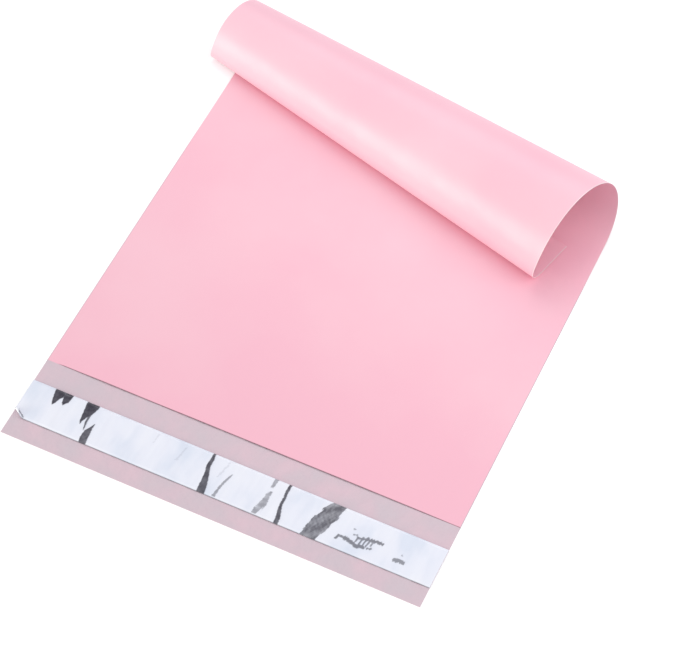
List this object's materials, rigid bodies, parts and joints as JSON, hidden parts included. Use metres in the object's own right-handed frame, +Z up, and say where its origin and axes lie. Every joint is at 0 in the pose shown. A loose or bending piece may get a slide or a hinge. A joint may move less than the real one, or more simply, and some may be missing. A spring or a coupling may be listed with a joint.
{
  "type": "poly mailer bag",
  "caption": "Flat plastic mailing bag with an open mouth, a flap with a covered adhesive band, and its closed end curled over into a loose roll.",
  "frame": {"origin": "on the underside of the back ply, in the middle of the bag's width, at the mouth line", "axes": "+X across the bag to the right, +Y from the flap along the bag to its curled closed end, +Z up from the surface it lies on"},
  "size_m": [0.2718, 0.3304, 0.0463],
  "materials": {
    "bag_film": "pink polyethylene film with a soft satin face",
    "adhesive": "clear tacky hot-melt adhesive",
    "liner": "thin glossy pale release film, lightly crinkled"
  },
  "bodies": {
    "root": {"bag_film": "bag_film", "adhesive_strip": "adhesive", "release_liner": "liner"}
  },
  "joints": []
}
